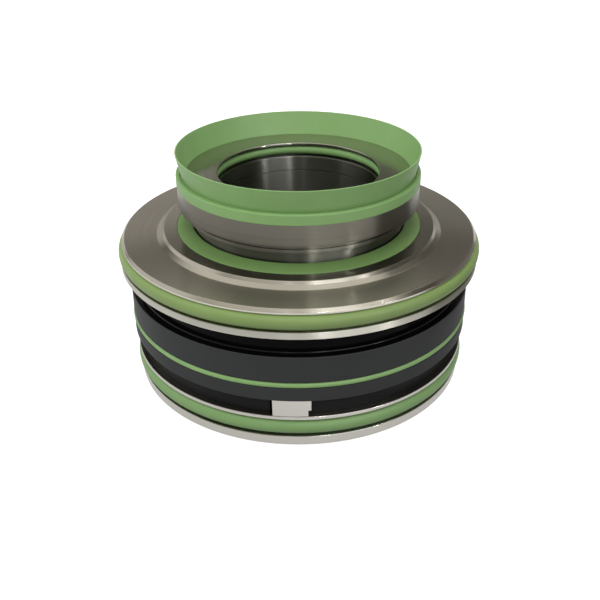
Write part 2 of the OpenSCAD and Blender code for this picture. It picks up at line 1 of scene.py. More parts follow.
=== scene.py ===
import math

import bmesh
import bpy
from mathutils import Matrix, Vector


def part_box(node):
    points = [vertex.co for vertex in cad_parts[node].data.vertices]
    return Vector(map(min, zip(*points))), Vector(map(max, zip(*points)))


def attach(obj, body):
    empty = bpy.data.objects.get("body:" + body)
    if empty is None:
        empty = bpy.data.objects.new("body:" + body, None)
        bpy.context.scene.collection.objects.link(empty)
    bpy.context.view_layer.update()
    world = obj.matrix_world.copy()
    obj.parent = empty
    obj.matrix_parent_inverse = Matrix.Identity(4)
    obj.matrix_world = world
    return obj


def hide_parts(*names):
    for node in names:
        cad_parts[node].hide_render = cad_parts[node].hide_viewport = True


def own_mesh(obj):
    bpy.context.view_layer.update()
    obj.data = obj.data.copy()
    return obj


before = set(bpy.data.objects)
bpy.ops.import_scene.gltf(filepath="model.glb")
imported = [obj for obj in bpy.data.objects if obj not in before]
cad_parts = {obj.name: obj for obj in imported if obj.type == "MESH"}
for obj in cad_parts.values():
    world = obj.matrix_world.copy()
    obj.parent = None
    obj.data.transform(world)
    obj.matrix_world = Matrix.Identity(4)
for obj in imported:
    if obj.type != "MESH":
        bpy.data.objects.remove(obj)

# Cartridge mechanical seal, dressed for the picture. Lengths in the dictionaries are millimetres
# unless a note says otherwise, angles are degrees, and the shaft runs along Z.

mm = 0.001
wideMargin, fineMargin = 0.1, 0.02   # how far past a piece's edge its faces are still picked
mergeDistance = 0.0005
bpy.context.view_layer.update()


def span(node):  # lowest height, highest height and outer radius of a CAD node
    low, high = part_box(node)
    return low.z / mm, high.z / mm, max(high.x, high.y) / mm


def addObject(name, data):
    made = bpy.data.objects.new(name, data)
    bpy.context.scene.collection.objects.link(made)
    return made


# Helpers for node trees

def addNode(tree, kind, values=None, **settings):
    made = tree.nodes.new(kind)
    for name, value in settings.items():
        setattr(made, name, value)
    for socket, value in (values or {}).items():
        if isinstance(value, bpy.types.NodeSocket):
            tree.links.new(value, made.inputs[socket])
        else:
            made.inputs[socket].default_value = value
    return made


def calc(tree, operation, first, second=0.0, third=0.0):  # works in shader and geometry trees
    values = {0: first, 1: second}
    if operation == "MULTIPLY_ADD":
        values[2] = third
    return addNode(tree, "ShaderNodeMath", values, operation=operation).outputs[0]


def newTree(name, kind, inputs, outputs):
    tree = bpy.data.node_groups.new(name, kind)
    for label, socketType, value in inputs:
        socket = tree.interface.new_socket(label, in_out="INPUT", socket_type=socketType)
        if value is not None:
            socket.default_value = value
    for label, socketType in outputs:
        tree.interface.new_socket(label, in_out="OUTPUT", socket_type=socketType)
    return tree, tree.nodes.new("NodeGroupInput").outputs, tree.nodes.new("NodeGroupOutput").inputs


# Shader groups that several finishes share

markPattern = {"heightShare": 1.31, "broadShare": 0.11, "fineShare": 0.35, "cloudsPerMetre": 45.0}


def buildTurningMarks():  # fine rings left by a lathe tool, on faces and on walls alike
    tree, given, result = newTree(
        "turningMarks", "ShaderNodeTree",
        [("Marks per mm", "NodeSocketFloat", 3.0), ("Unevenness", "NodeSocketFloat", 0.5)],
        [("Height", "NodeSocketFloat"), ("Shade", "NodeSocketFloat")])
    place = addNode(tree, "ShaderNodeTexCoord").outputs["Object"]
    parts = addNode(tree, "ShaderNodeSeparateXYZ", {0: place})
    squares = calc(tree, "ADD", calc(tree, "POWER", parts.outputs[0], 2.0),
                   calc(tree, "POWER", parts.outputs[1], 2.0))
    radius = calc(tree, "SQRT", squares)
    along = calc(tree, "MULTIPLY_ADD", parts.outputs[2], markPattern["heightShare"], radius)
    marks = calc(tree, "MULTIPLY", calc(tree, "DIVIDE", along, mm), given["Marks per mm"])
    fine = addNode(tree, "ShaderNodeTexNoise", {"W": marks, "Scale": 1.0, "Detail": 2.0},
                   noise_dimensions="1D").outputs[0]
    slower = calc(tree, "MULTIPLY", marks, markPattern["broadShare"])
    broad = addNode(tree, "ShaderNodeTexNoise", {"W": slower, "Scale": 1.0, "Detail": 1.0},
                    noise_dimensions="1D").outputs[0]
    cloud = addNode(tree, "ShaderNodeTexNoise", {"Vector": place, "Scale": markPattern["cloudsPerMetre"],
                                                 "Detail": 3.0}).outputs[0]
    uneven = addNode(tree, "ShaderNodeMix", {0: given["Unevenness"], 2: broad, 3: cloud}).outputs[0]
    rest = calc(tree, "MULTIPLY", uneven, 1 - markPattern["fineShare"])
    tree.links.new(fine, result["Height"])
    tree.links.new(calc(tree, "MULTIPLY_ADD", fine, markPattern["fineShare"], rest), result["Shade"])
    return tree


def buildMouldedSkin():  # the faint mottle and pores of moulded rubber and plastic
    tree, given, result = newTree(
        "mouldedSkin", "ShaderNodeTree",
        [("Mottle per metre", "NodeSocketFloat", 120.0), ("Pores per metre", "NodeSocketFloat", 2600.0)],
        [("Height", "NodeSocketFloat"), ("Mottle", "NodeSocketFloat")])
    place = addNode(tree, "ShaderNodeTexCoord").outputs["Object"]
    mottle = addNode(tree, "ShaderNodeTexNoise", {"Vector": place, "Scale": given["Mottle per metre"],
                                                  "Detail": 4.0, "Roughness": 0.6}).outputs[0]
    pores = addNode(tree, "ShaderNodeTexNoise", {"Vector": place, "Scale": given["Pores per metre"],
                                                 "Detail": 2.0}).outputs[0]
    tree.links.new(pores, result["Height"])
    tree.links.new(mottle, result["Mottle"])
    return tree


turningMarks = buildTurningMarks()
mouldedSkin = buildMouldedSkin()


def blank(name):
    material = bpy.data.materials.new(name)
    material.use_nodes = True
    material.node_tree.nodes.clear()
    return material, material.node_tree


def finishMaterial(tree, shader):
    addNode(tree, "ShaderNodeOutputMaterial", {0: shader.outputs[0]})


def between(tree, amount, low, high):  # a number between two, by a mask
    return addNode(tree, "ShaderNodeMapRange", {0: amount, 3: low, 4: high}).outputs[0]


def colourBetween(tree, amount, low, high):
    return addNode(tree, "ShaderNodeMix", {0: amount, 6: (*low, 1.0), 7: (*high, 1.0)},
                   data_type="RGBA").outputs[2]


def turnedMetal(name, look):
    look = {**metalDefaults, **look}
    material, tree = blank(name)
    marks = addNode(tree, "ShaderNodeGroup", {"Marks per mm": look["marksPerMm"],
                                              "Unevenness": look["unevenness"]}, node_tree=turningMarks)
    bump = addNode(tree, "ShaderNodeBump", {"Strength": look["bump"], "Distance": look["markDepth"] * mm,
                                            "Height": marks.outputs["Height"]})
    place = addNode(tree, "ShaderNodeTexCoord").outputs["Object"]
    roundAxis = addNode(tree, "ShaderNodeVectorMath", {0: (0, 0, 1), 1: place}, operation="CROSS_PRODUCT")
    tangent = addNode(tree, "ShaderNodeVectorTransform", {0: roundAxis.outputs[0]}, vector_type="VECTOR",
                      convert_from="OBJECT", convert_to="WORLD")
    shader = addNode(tree, "ShaderNodeBsdfPrincipled", {
        "Base Color": colourBetween(tree, marks.outputs["Shade"], look["dark"], look["light"]),
        "Roughness": between(tree, marks.outputs["Shade"], look["rough"] + look["roughSpread"],
                             look["rough"] - look["roughSpread"]),
        "Metallic": 1.0, "Anisotropic": look["anisotropy"],
        "Anisotropic Rotation": look["anisotropyTurn"], "Normal": bump.outputs[0],
        "Tangent": tangent.outputs[0]})
    finishMaterial(tree, shader)
    return material


def mouldedMaterial(name, look):
    look = {**mouldedDefaults, **look}
    material, tree = blank(name)
    skin = addNode(tree, "ShaderNodeGroup", {"Mottle per metre": look["mottle"],
                                             "Pores per metre": look["pores"]}, node_tree=mouldedSkin)
    bump = addNode(tree, "ShaderNodeBump", {"Strength": look["bump"], "Distance": look["poreDepth"] * mm,
                                            "Height": skin.outputs["Height"]})
    shader = addNode(tree, "ShaderNodeBsdfPrincipled", {
        "Base Color": colourBetween(tree, skin.outputs["Mottle"], look["dark"], look["light"]),
        "Roughness": between(tree, skin.outputs["Mottle"], look["rough"] + look["roughSpread"],
                             look["rough"] - look["roughSpread"]),
        "Specular IOR Level": look["specular"], "Normal": bump.outputs[0]})
    finishMaterial(tree, shader)
    return material


metalDefaults = {"roughSpread": 0.03, "anisotropy": 1.0, "anisotropyTurn": 0.25, "marksPerMm": 6.0,
                 "unevenness": 0.5, "bump": 0.1, "markDepth": 0.01}
metalLooks = {
    "flangeSteel": {"dark": (0.53, 0.50, 0.435), "light": (0.65, 0.62, 0.55), "rough": 0.26,
        "anisotropy": 0.9, "marksPerMm": 5.0},
    "carrierSteel": {"dark": (0.48, 0.465, 0.43), "light": (0.59, 0.575, 0.535), "rough": 0.25,
        "roughSpread": 0.04, "anisotropy": 0.8, "marksPerMm": 4.0, "unevenness": 0.6},
    "polishedSteel": {"dark": (0.49, 0.47, 0.405), "light": (0.57, 0.55, 0.485), "rough": 0.20,
        "anisotropy": 0.8, "bump": 0.05, "markDepth": 0.005},
    "rimSteel": {"dark": (0.53, 0.52, 0.46), "light": (0.63, 0.615, 0.55), "rough": 0.38,
        "roughSpread": 0.04, "marksPerMm": 5.0, "bump": 0.2},
    # drive collar steel, far darker than its top face: painted shade on the outer wall
    "collarSteelPaintedShade": {"dark": (0.150, 0.141, 0.117), "light": (0.186, 0.176, 0.150), "rough": 0.30,
        "roughSpread": 0.04, "anisotropy": 0.8, "unevenness": 0.4, "markDepth": 0.006},
    "collarFace": {"dark": (0.45, 0.43, 0.38), "light": (0.54, 0.52, 0.465), "rough": 0.22,
        "roughSpread": 0.04, "anisotropy": 0.6, "unevenness": 0.4, "markDepth": 0.006},
    # steel of the bore, darkened as painted shade inside the recess
    "sleeveSteelPaintedShade": {"dark": (0.26, 0.256, 0.235), "light": (0.32, 0.316, 0.292), "rough": 0.31,
        "roughSpread": 0.02, "unevenness": 0.3},
    "hardRing": {"dark": (0.145, 0.142, 0.122), "light": (0.19, 0.186, 0.163), "rough": 0.38},
    "ringBody": {"dark": (0.180, 0.173, 0.148), "light": (0.230, 0.222, 0.192), "rough": 0.36},
    "fastenerSteel": {"dark": (0.42, 0.42, 0.41), "light": (0.55, 0.55, 0.53), "rough": 0.35,
        "roughSpread": 0.05, "anisotropy": 0.0, "anisotropyTurn": 0.0, "marksPerMm": 3.0,
        "unevenness": 0.8},
    "springSteel": {"dark": (0.46, 0.45, 0.43), "light": (0.58, 0.57, 0.55), "rough": 0.28,
        "roughSpread": 0.05, "anisotropy": 0.0, "anisotropyTurn": 0.0, "unevenness": 0.8, "bump": 0.05,
        "markDepth": 0.005},
}
mouldedDefaults = {"roughSpread": 0.05, "mottle": 60.0, "pores": 1900.0, "bump": 0.06, "poreDepth": 0.015}
rubberSkin = {"roughSpread": 0.06, "mottle": 90.0, "pores": 2600.0, "bump": 0.12, "poreDepth": 0.02}
mouldedLooks = {
    "greenRubber": {**rubberSkin, "dark": (0.140, 0.258, 0.087), "light": (0.176, 0.306, 0.112),
        "rough": 0.46, "specular": 0.4},
    "oliveRubber": {**rubberSkin, "dark": (0.125, 0.190, 0.056), "light": (0.155, 0.230, 0.070),
        "rough": 0.44, "mottle": 80.0, "specular": 0.4},
    # the green rubber darkened for the wiper ring, as painted shade under the drive collar
    "wiperRubberPaintedShade": {**rubberSkin, "dark": (0.092, 0.165, 0.050), "light": (0.116, 0.200, 0.064),
        "rough": 0.50, "specular": 0.3},
    # the green rubber made darker for the carrier's O-ring: painted shade
    "carrierRubberPaintedShade": {**rubberSkin, "dark": (0.120, 0.220, 0.074), "light": (0.150, 0.262, 0.095),
        "rough": 0.46, "specular": 0.4},
    "blackHousing": {"dark": (0.028, 0.029, 0.0295), "light": (0.036, 0.037, 0.038), "rough": 0.48,
        "specular": 0.05},
    # skirt: the housing's black darkened, as painted shade below the band
    "skirtPaintedShade": {"dark": (0.008, 0.0085, 0.0085), "light": (0.012, 0.0125, 0.0125), "rough": 0.38,
        "specular": 0.07},
    # fillet at the neck's foot: real gloss for its thin highlights, near-black colour as painted shade like
    # the neck's
    "edgeBlack": {"dark": (0.004, 0.004, 0.0045), "light": (0.006, 0.006, 0.0065), "rough": 0.16,
        "roughSpread": 0.03, "bump": 0.03, "poreDepth": 0.01, "specular": 0.3},
    # neck: glossy, near-black and barely reflecting, as painted shade under the flange's overhang
    "neckPaintedShade": {"dark": (0.0015, 0.0015, 0.0018), "light": (0.0025, 0.0025, 0.0028), "rough": 0.14,
        "roughSpread": 0.03, "bump": 0.03, "poreDepth": 0.01, "specular": 0.04},
}
finishes = {name: turnedMetal(name, look) for name, look in metalLooks.items()}
finishes.update({name: mouldedMaterial(name, look) for name, look in mouldedLooks.items()})
print("Finishes made:", len(finishes))


# Turned pieces: an outline of radii and heights, carried once round the shaft's axis

turning = {"segments": 240, "edgeRound": 0.1, "roundSteps": 4, "outlineRadius": 50.0,
           "straightAngle": 89,   # a corner whose half angle is more than this counts as straight
           "normalWeight": 90}


def roundedOutline(corners):  # a corner is (radius, height) or (radius, height, its own rounding)
    points = []
    for i, corner in enumerate(corners):
        here = Vector(corner[:2])
        before = (Vector(corners[i - 1][:2]) - here).normalized()
        after = (Vector(corners[(i + 1) % len(corners)][:2]) - here).normalized()
        rounding = corner[2] if len(corner) > 2 else turning["edgeRound"]
        half = before.angle(after) / 2
        if rounding == 0 or half > math.radians(turning["straightAngle"]):
            points.append(here)
            continue
        centre = here + (before + after).normalized() * rounding / math.sin(half)
        reach = rounding / math.tan(half)
        start = here + before * reach - centre
        turn = start.angle_signed(here + after * reach - centre)
        for step in range(turning["roundSteps"] + 1):
            angle = -turn * step / turning["roundSteps"]
            points.append(centre + Vector((start.x * math.cos(angle) - start.y * math.sin(angle),
                                           start.x * math.sin(angle) + start.y * math.cos(angle))))
    return points


def buildTurningTree():
    tree, given, result = newTree(
        "turnedOnAxis", "GeometryNodeTree",
        [("Outline", "NodeSocketGeometry", None), ("Outline Radius", "NodeSocketFloat", 0.05),
         ("Segments", "NodeSocketInt", turning["segments"]), ("Surface", "NodeSocketMaterial", None)],
        [("Mesh", "NodeSocketGeometry")])
    outline = addNode(tree, "GeometryNodeMeshToCurve", {"Mesh": given["Outline"]})
    path = addNode(tree, "GeometryNodeCurvePrimitiveCircle",
                   {"Resolution": given["Segments"], "Radius": given["Outline Radius"]})
    level = addNode(tree, "GeometryNodeSetCurveNormal", {"Curve": path.outputs["Curve"]}, mode="Z_UP")
    swept = addNode(tree, "GeometryNodeCurveToMesh", {"Curve": level.outputs[0],
                                                      "Profile Curve": outline.outputs[0]})
    return endTree(tree, shadedSmooth(tree, swept), given["Surface"], result)


def shadedSmooth(tree, made):
    return addNode(tree, "GeometryNodeSetShadeSmooth", {"Geometry": made.outputs[0]})


def endTree(tree, made, surface, result):  # plain mesh with its material, as the export needs it
    real = addNode(tree, "GeometryNodeRealizeInstances", {0: made.outputs[0]})
    coated = addNode(tree, "GeometryNodeSetMaterial", {"Geometry": real.outputs[0], "Material": surface})
    tree.links.new(coated.outputs[0], result["Mesh"])
    return tree


def runTree(tree, start, values):  # evaluates a geometry tree on a mesh and gives the plain result
    maker = addObject("maker", start)
    modifier = maker.modifiers.new("shape", "NODES")
    modifier.node_group = tree
    for item in tree.interface.items_tree:
        if item.item_type == "SOCKET" and item.in_out == "INPUT" and item.name in values:
            modifier[item.identifier] = values[item.name]
    evaluated = maker.evaluated_get(bpy.context.evaluated_depsgraph_get())
    made = bpy.data.meshes.new_from_object(evaluated)
    bpy.data.objects.remove(maker)
    return made


def plainMesh(name, shape):
    mesh = bpy.data.meshes.new(name)
    shape.to_mesh(mesh)
    shape.free()
    return mesh


def outwards(mesh):  # merges the seam and turns every face outwards
    cleaned = bmesh.new()
    cleaned.from_mesh(mesh)
    bmesh.ops.remove_doubles(cleaned, verts=cleaned.verts, dist=mergeDistance * mm)
    bmesh.ops.recalc_face_normals(cleaned, faces=cleaned.faces)
    cleaned.to_mesh(mesh)
    cleaned.free()


def addPiece(name, mesh, body, nodes, weighted=True):
    outwards(mesh)
    mesh.name = name
    piece = addObject(name, mesh)
    if weighted:
        normals = piece.modifiers.new("evenNormals", "WEIGHTED_NORMAL")
        normals.weight = turning["normalWeight"]
        normals.keep_sharp = True
    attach(piece, body)
    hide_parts(*nodes)
    return piece


turningTree = buildTurningTree()


def turnedMesh(corners, finish):  # the sweep turns the outline over, so its heights go in negative
    points = roundedOutline(corners)
    outline = bpy.data.meshes.new("outline")
    outline.from_pydata([((p.x - turning["outlineRadius"]) * mm, -p.y * mm, 0) for p in points],
                        [(i, (i + 1) % len(points)) for i in range(len(points))], [])
    return runTree(turningTree, outline, {"Outline Radius": turning["outlineRadius"] * mm,
                                          "Segments": turning["segments"], "Surface": finishes[finish]})


def turned(name, corners, finish, body, slot, *nodes):
    return addPiece(name, turnedMesh(corners, finish), body, nodes)


def refinish(piece, finish, wanted):  # another finish on the faces whose radius and height are wanted
    piece.data.materials.append(finishes[finish])
    last = len(piece.data.materials) - 1
    for face in piece.data.polygons:
        middle = face.center / mm
        if wanted(math.hypot(middle.x, middle.y), middle.z):
            face.material_index = last


# O-rings: one tree, with the ring's size, its section and its height as inputs

def buildORingTree():
    tree, given, result = newTree(
        "oRing", "GeometryNodeTree",
        [("Geometry", "NodeSocketGeometry", None), ("Ring Radius", "NodeSocketFloat", 0.06),
         ("Section", "NodeSocketFloat", 0.003), ("Height", "NodeSocketFloat", 0.0),
         ("Segments", "NodeSocketInt", turning["segments"]), ("Section Sides", "NodeSocketInt", 32),
         ("Surface", "NodeSocketMaterial", None)],
        [("Mesh", "NodeSocketGeometry")])
    path = addNode(tree, "GeometryNodeCurvePrimitiveCircle",
                   {"Resolution": given["Segments"], "Radius": given["Ring Radius"]})
    half = calc(tree, "MULTIPLY", given["Section"], 0.5)
    section = addNode(tree, "GeometryNodeCurvePrimitiveCircle",
                      {"Resolution": given["Section Sides"], "Radius": half})
    swept = addNode(tree, "GeometryNodeCurveToMesh", {"Curve": path.outputs["Curve"],
                                                      "Profile Curve": section.outputs["Curve"]})
    lift = addNode(tree, "ShaderNodeCombineXYZ", {"Z": given["Height"]})
    raised = addNode(tree, "GeometryNodeTransform", {"Geometry": swept.outputs[0],
                                                     "Translation": lift.outputs[0]})
    return endTree(tree, shadedSmooth(tree, raised), given["Surface"], result)


oRingTree = buildORingTree()


def oRing(name, node, body, finish="greenRubber"):
    low, high, outer = span(node)
    section = high - low
    start = bpy.data.meshes.new("start")
    mesh = runTree(oRingTree, start, {
        "Ring Radius": (outer - section / 2) * mm, "Section": section * mm, "Height": (low + high) / 2 * mm,
        "Surface": finishes[finish]})
    return addPiece(name, mesh, body, [node], weighted=False)


oRings = [
    ("collarORing", "collar_oring", "rotor"),
    ("sleeveORing", "sleeve_oring", "rotor"),
    ("upperRotatingORing", "upper_rotating_oring", "rotor"),
    ("lowerRotatingORing", "lower_rotating_oring", "rotor"),
    ("flangeORing", "flange_oring", "root", "oliveRubber"),
    ("middleORing", "mid_oring", "root"),
    # the carrier's O-ring uses the darkened rubber, as painted shade
    ("carrierORing", "carrier_oring", "root", "carrierRubberPaintedShade"),
    ("upperStationaryORing", "upper_stationary_oring", "upper_floater"),
    ("lowerStationaryORing", "lower_stationary_oring", "lower_floater"),
]
for ring in oRings:
    oRing(*ring)
print("O-rings made:", len(oRings))


# Lip ring round the drive collar

lipRing = {"rootWall": 1.5, "edgeWall": 0.5, "lean": 2.9, "notch": 0.7, "bandRound": 0.55,
           "bandHeight": 3.9, "seatRadius": 41.65, "bendHeight": 0.1}


def makeLipRing():
    low, top, band = span("v_ring")
    inner = lipRing["seatRadius"]
    bandTop = low + lipRing["bandHeight"]
    root = inner + lipRing["rootWall"]
    turned("lipRing", [
        (inner, low, 0.2),
        (band, low, 0.2),
        (band, bandTop, lipRing["bandRound"]),
        (root + lipRing["notch"], bandTop, 0.2),
        (root, bandTop - lipRing["notch"], 0.15),
        (inner + lipRing["lean"] + lipRing["edgeWall"], top, 0.15),
        (inner + lipRing["lean"], top, 0.15),
        (inner, span("drive_collar")[1] + lipRing["bendHeight"], 0.5),
    ], "greenRubber", "rotor", "green_rubber", "v_ring")


makeLipRing()


# Drive collar, with the groove inside its bore

driveCollar = {"bore": 30.0, "groove": 33.9, "grooveTop": 1.0, "grooveHeight": 4.6, "lipSeat": 41.6,
               "jointRelief": 0.5, "lipSeatHeight": 3.3, "ringBore": 42.4, "hub": 36.0,
               "sleeveBore": 33.1, "pocket": 71.1, "bottom": 67.5, "joint": 66.9, "faceDepth": 0.5}


def makeDriveCollar():
    size = driveCollar
    low, top, outer = span("drive_collar")
    seat = top - size["lipSeatHeight"]
    grooveTop = top - size["grooveTop"]
    # the collar's outer wall gets the darkened steel, as painted shade
    piece = turned("driveCollar", [
        (size["ringBore"], size["bottom"], 0.22),
        (outer, size["bottom"], 0.35),
        (outer, seat),
        (size["lipSeat"], seat),
        (size["lipSeat"], top),
        (size["bore"], top, 0.35),
        (size["bore"], grooveTop, 0.12),
        (size["groove"], grooveTop, 0.22),
        (size["groove"], grooveTop - size["grooveHeight"], 0.22),
        (size["bore"], grooveTop - size["grooveHeight"], 0.3),
        (size["bore"], size["joint"] + size["jointRelief"]),
        (size["bore"] + size["jointRelief"], size["joint"], 0.05),
        (size["sleeveBore"], size["joint"]),
        (size["sleeveBore"], low),
        (size["hub"], low),
        (size["hub"], size["pocket"]),
        (size["ringBore"], size["pocket"]),
    ], "collarSteelPaintedShade", "rotor", "collar_steel", "drive_collar")
    faceLow = top - size["faceDepth"]
    refinish(piece, "collarFace",
             lambda radius, height: height > faceLow and radius > size["bore"] - wideMargin)
    # painted shade: the bore below the top face gets the darker steel
    refinish(piece, "sleeveSteelPaintedShade",
             lambda radius, height: height < faceLow and radius < size["groove"] + wideMargin)


makeDriveCollar()


# Sleeve, whose bore carries on below the collar's, with the foot at the motor end

shaftSleeve = {"bore": 30.0, "groove": 33.9, "wall": 33.0, "hub": 36.0, "pocket": 42.4, "footTop": 5.1,
               "rimTop": 7.5, "hubTop": 9.5, "grooveLow": 3.0, "grooveHigh": 7.6}


def makeShaftSleeve():
    size = shaftSleeve
    low, top, foot = span("shaft_sleeve")
    turned("shaftSleeve", [
        (size["bore"], low, 0.35),
        (foot, low, 0.35),
        (foot, size["rimTop"], 0.22),
        (size["pocket"], size["rimTop"], 0.22),
        (size["pocket"], size["footTop"]),
        (size["hub"], size["footTop"]),
        (size["hub"], size["hubTop"]),
        (size["wall"], size["hubTop"]),
        (size["wall"], top),
        (size["bore"], top, 0.05),
        (size["bore"], size["grooveHigh"], 0.12),
        (size["groove"], size["grooveHigh"]),
        (size["groove"], size["grooveLow"]),
        (size["bore"], size["grooveLow"], 0.12),
    ], "sleeveSteelPaintedShade", "rotor", "sleeve_steel", "shaft_sleeve")


makeShaftSleeve()


# Rotating rings: under the collar the upper one's body shows, with its nose below it

hardRings = {"bore": 36.1, "noseInner": 37.2, "noseOuter": 39.8, "nose": 3.6, "oRingSeat": 2.25,
             "boreStart": 1.1, "chamfer": 0.5, "bodyStart": 3.9, "grooveStart": 5.4, "grooveEnd": 5.95,
             "grooveDepth": 0.4}


def makeRotatingRing(name, node, face, away):  # away is +1 where the ring lies above its face
    size = hardRings
    low, high, outer = span(node)
    back = high if away > 0 else low
    seat, seatLevel = size["bore"] + size["oRingSeat"], back - away * size["oRingSeat"]
    noseTop, chamferTop, grooveStart, grooveEnd, boreStart = [face + away * depth for depth in (
        size["nose"], size["nose"] + size["chamfer"], size["grooveStart"], size["grooveEnd"],
        size["boreStart"])]
    piece = turned(name, [
        (size["noseInner"], face),
        (size["noseOuter"], face),
        (size["noseOuter"], noseTop, 0.15),
        (outer - size["chamfer"], noseTop),
        (outer, chamferTop),
        (outer, grooveStart),
        (outer - size["grooveDepth"], grooveStart, 0.05),
        (outer - size["grooveDepth"], grooveEnd, 0.05),
        (outer, grooveEnd),
        (outer, back, 0.22),
        (seat, back),
        (seat, seatLevel),
        (size["bore"], seatLevel),
        (size["bore"], boreStart),
    ], "hardRing", "rotor", "hard_ring", node)
    refinish(piece, "ringBody", lambda radius, height: radius > outer - wideMargin
             and away * (height - face) > size["bodyStart"])


makeRotatingRing("upperRotatingRing", "upper_rotating_ring", span("upper_rotating_ring")[0], 1)
makeRotatingRing("lowerRotatingRing", "lower_rotating_ring", span("lower_rotating_ring")[1], -1)
print("Rotating side made")


# Flange with its boss and its rim groove

flange = {"bore": 44.3, "lip": 41.2, "lipLow": 54.6, "wiperSeat": 46.2, "wiperDepth": 2.5, "boss": 51.1,
          "bossTaper": 0.9, "footWidth": 1.9, "footHeight": 1.05, "bossHeight": 2.1, "spigot": 48.0,
          "spigotHeight": 2.0, "rimHeight": 2.6, "grooveHeight": 6.0, "groove": 62.6, "topRim": 67.0,
          "chamfer": 1.0, "rimDepth": 0.4}


def makeFlange():
    size = flange
    low, bossTop, outer = span("flange")
    seatLevel = bossTop - size["wiperDepth"]
    top = bossTop - size["bossHeight"]
    bottom = low + size["spigotHeight"]
    grooveLow = bottom + size["rimHeight"]
    grooveHigh = grooveLow + size["grooveHeight"]
    foot = size["boss"] + size["bossTaper"]
    piece = turned("flangeRing", [
        (size["bore"], low, 0.15),
        (size["spigot"], low, 0.15),
        (size["spigot"], bottom),
        (outer, bottom, 0.3),
        (outer, grooveLow, 0.25),
        (size["groove"], grooveLow, 0.3),
        (size["groove"], grooveHigh, 0.3),
        (size["topRim"], grooveHigh, 0.2),
        (size["topRim"], top - size["chamfer"], 0.2),
        (size["topRim"] - size["chamfer"], top, 0.25),
        (foot + size["footWidth"], top, 0.6),
        (foot, top + size["footHeight"], 0.3),
        (size["boss"], bossTop, 0.3),
        (size["wiperSeat"], bossTop, 0.15),
        (size["wiperSeat"], seatLevel),
        (size["lip"], seatLevel),
        (size["lip"], size["lipLow"]),
        (size["bore"], size["lipLow"]),
    ], "flangeSteel", "root", "flange_steel", "flange")
    refinish(piece, "polishedSteel", lambda radius, height: height > bossTop - fineMargin)
    refinish(piece, "rimSteel", lambda radius, height: radius > outer - size["rimDepth"]
             and height < grooveLow + wideMargin)


makeFlange()


# Wiper ring in the boss

wiperRing = {"inner": 39.9, "outerHeight": 0.15, "crownRound": 0.6}


def makeWiperRing():
    low, high, outer = span("wiper_ring")
    bossTop = span("flange")[1]
    # the wiper's rubber is darkened as painted shade under the collar
    turned("wiperRing", [
        (wiperRing["inner"], low, 0.15),
        (outer, low, 0.15),
        (outer, bossTop + wiperRing["outerHeight"], 0.25),
        (wiperRing["inner"], high, wiperRing["crownRound"]),
    ], "wiperRubberPaintedShade", "root", "green_rubber", "wiper_ring")


makeWiperRing()


# Upper housing, with the neck, the barrel and the web between the springs

upperHousing = {"spigotBore": 48.1, "bore": 44.3, "webBore": 35.5, "webLow": 31.0, "webHigh": 41.5,
                "neck": 62.0, "barrelHeight": 10.1, "neckRound": 0.4, "spigotHeight": 2.1,
                "neckShadeInset": 1.0}


def makeUpperHousing():
    size = upperHousing
    low, top, barrel = span("upper_housing")
    shoulder = low + size["barrelHeight"]
    piece = turned("upperHousing", [
        (size["spigotBore"], low),
        (barrel, low, 0.3),
        (barrel, shoulder, 0.35),
        (size["neck"], shoulder, size["neckRound"]),
        (size["neck"], top, 0.15),
        (size["spigotBore"], top),
        (size["spigotBore"], top - size["spigotHeight"]),
        (size["bore"], top - size["spigotHeight"]),
        (size["bore"], size["webHigh"], 0.2),
        (size["webBore"], size["webHigh"], 0.2),
        (size["webBore"], size["webLow"], 0.2),
        (size["bore"], size["webLow"], 0.2),
        (size["bore"], low + size["spigotHeight"]),
        (size["spigotBore"], low + size["spigotHeight"]),
    ], "blackHousing", "root", "black_housing", "upper_housing")
    # painted shade: the neck under the flange gets the near-black finish
    inset = size["neckShadeInset"]
    refinish(piece, "neckPaintedShade", lambda radius, height: size["neck"] - inset < radius < barrel - inset
             and height > shoulder - wideMargin)
    # the neck's foot fillet: glossy, with its near-black colour as painted shade
    refinish(piece, "edgeBlack", lambda radius, height: 0 < radius - size["neck"] < size["neckRound"]
             and 0 < height - shoulder < size["neckRound"])


makeUpperHousing()


# Carrier ring, with its locking tabs set round it

carrierRing = {"landHeight": 4.2, "grooveHeight": 7.2, "lipHeight": 1.4, "land": 64.0, "groove": 58.9,
               "socket": 57.0, "bore": 48.0, "floor": 4.0, "edgeRound": 1.4, "lipEdge": 0.2}
lockingTabs = {"count": 3, "firstAngle": 267.5, "width": 13.5, "hook": 1.0, "headHeight": 4.3, "depth": 4.8,
               "faceInset": 0.1, "stemInset": 0.15, "edgeRound": 0.18, "roundSteps": 3, "sharpAngle": 50,
               "bends": 8}


